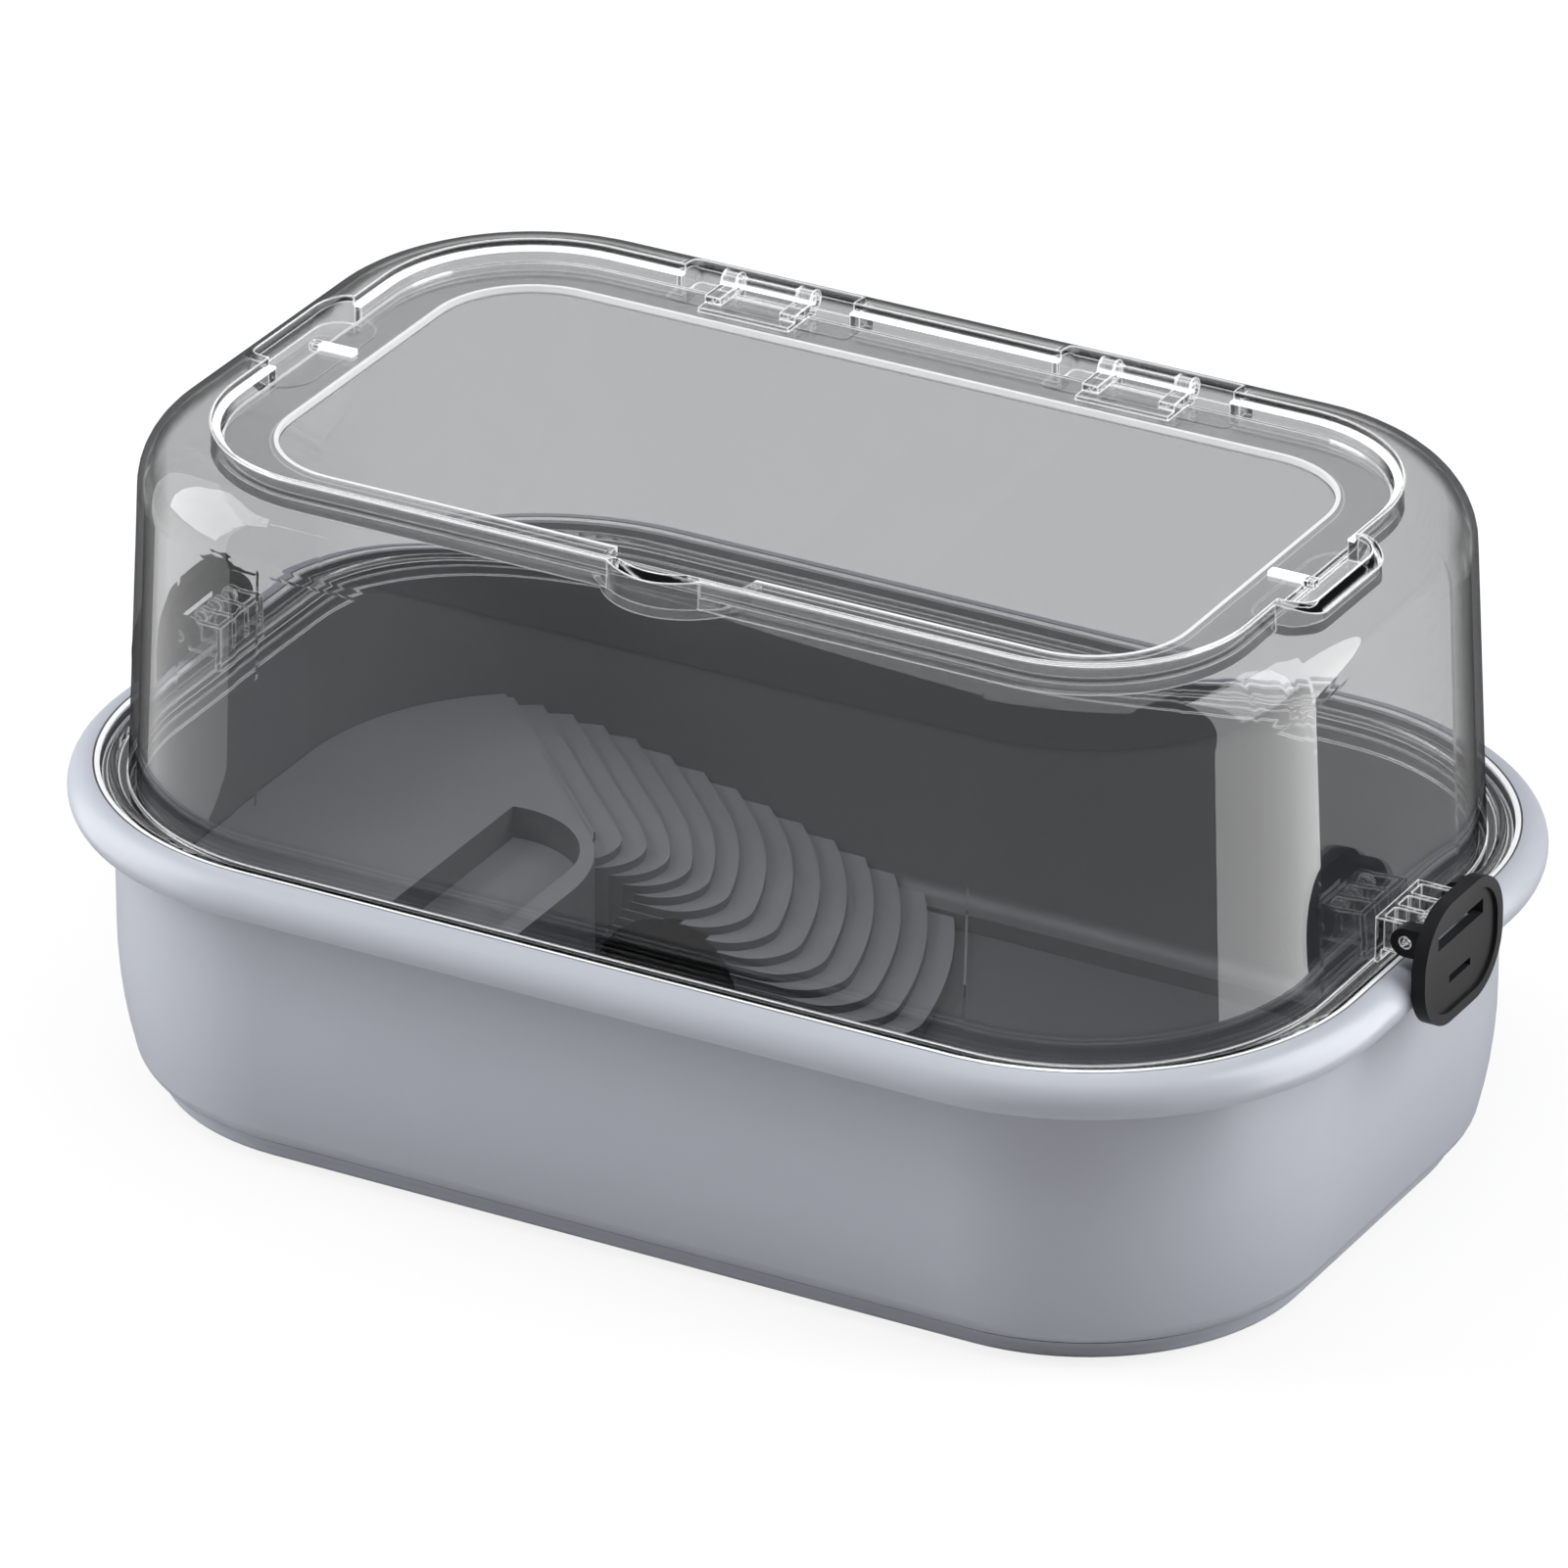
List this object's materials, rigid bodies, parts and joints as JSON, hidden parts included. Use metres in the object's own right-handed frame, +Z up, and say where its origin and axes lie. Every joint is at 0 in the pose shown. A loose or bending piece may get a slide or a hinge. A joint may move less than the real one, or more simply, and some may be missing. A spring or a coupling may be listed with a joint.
{
  "type": "turtle tank",
  "caption": "Rounded plastic pet tank with a clear dome cover, hinged top hatch, end latches and a stepped basking platform.",
  "frame": {"origin": "middle of the flat bottom of the tub, in the plane it stands on", "axes": "+X along the tank's length towards one latch, +Y towards the hatch hinges at the back, +Z up"},
  "size_m": [0.4092, 0.26, 0.2019],
  "materials": {
    "tub_plastic": "satin moulded plastic, pale blue grey",
    "smoky_clear": "clear smoke-tinted plastic, polished",
    "black_plastic": "black plastic, fine satin",
    "platform_plastic": "grey moulded plastic, matt"
  },
  "bodies": {
    "tank": {"tub": "tub_plastic", "cover": "smoky_clear", "basking_platform": "platform_plastic"},
    "lid": {"lid": "smoky_clear"},
    "latch_left": {"latch_left": "black_plastic"},
    "latch_right": {"latch_right": "black_plastic"}
  },
  "joints": [
    {"name": "lid_hinge", "type": "hinge", "parent": "tank", "child": "lid", "pos_m": [0, 0.0883, 0.1986], "axis": [-1, 0, 0], "range_deg": [0, 108]},
    {"name": "latch_left_hinge", "type": "hinge", "parent": "tank", "child": "latch_left", "pos_m": [-0.1955, 0, 0.1043], "axis": [0, 1, 0], "range_deg": [0, 90]},
    {"name": "latch_right_hinge", "type": "hinge", "parent": "tank", "child": "latch_right", "pos_m": [0.1955, 0, 0.1043], "axis": [0, -1, 0], "range_deg": [0, 90]}
  ]
}
